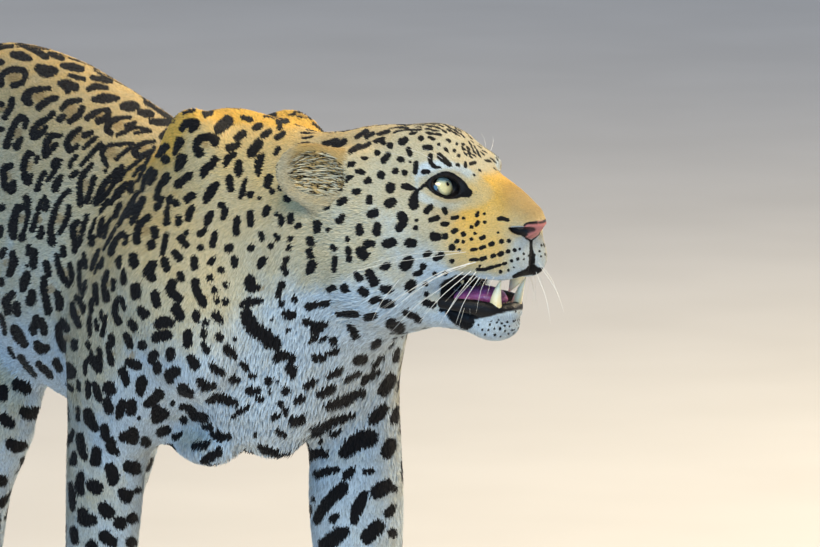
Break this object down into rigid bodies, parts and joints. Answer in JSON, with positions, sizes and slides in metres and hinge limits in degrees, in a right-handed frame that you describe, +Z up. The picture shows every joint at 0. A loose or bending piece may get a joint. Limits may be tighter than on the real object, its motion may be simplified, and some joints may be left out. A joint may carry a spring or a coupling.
{
  "type": "leopard figure, walking",
  "caption": "Life-size still figure of an adult leopard in mid-stride, head turned to its left, mouth open and tail hanging in a curve.",
  "frame": {"origin": "on the floor, under the middle of the whole figure's box", "axes": "+X forward along the body, +Y to the leopard's left, +Z up"},
  "size_m": [1.5823, 0.3183, 0.6788],
  "materials": {
    "coat_body": "short golden fur with black rosettes",
    "coat_pale": "short pale fur with solid black spots",
    "coat_head": "very short golden and cream fur with small black spots",
    "eye": "wet glossy eyeball, pale yellow-green iris",
    "tongue": "moist pink tongue and gums"
  },
  "bodies": {
    "root": {"head": "coat_head", "lower_jaw": "coat_pale", "ear_left": "coat_head", "ear_right": "coat_head", "neck": "coat_body", "chest": "coat_body", "loin": "coat_body", "foreleg_left": "coat_pale", "foreleg_right": "coat_pale", "hindleg_left": "coat_pale", "hindleg_right": "coat_pale", "forepaw_left": "coat_pale", "forepaw_right": "coat_pale", "hindpaw_left": "coat_pale", "hindpaw_right": "coat_pale", "tail_root": "coat_body", "tail_upper": "coat_body", "tail_lower": "coat_body", "tail_tip": "coat_body", "eye_left": "eye", "eye_right": "eye", "tongue": "tongue"}
  },
  "joints": []
}
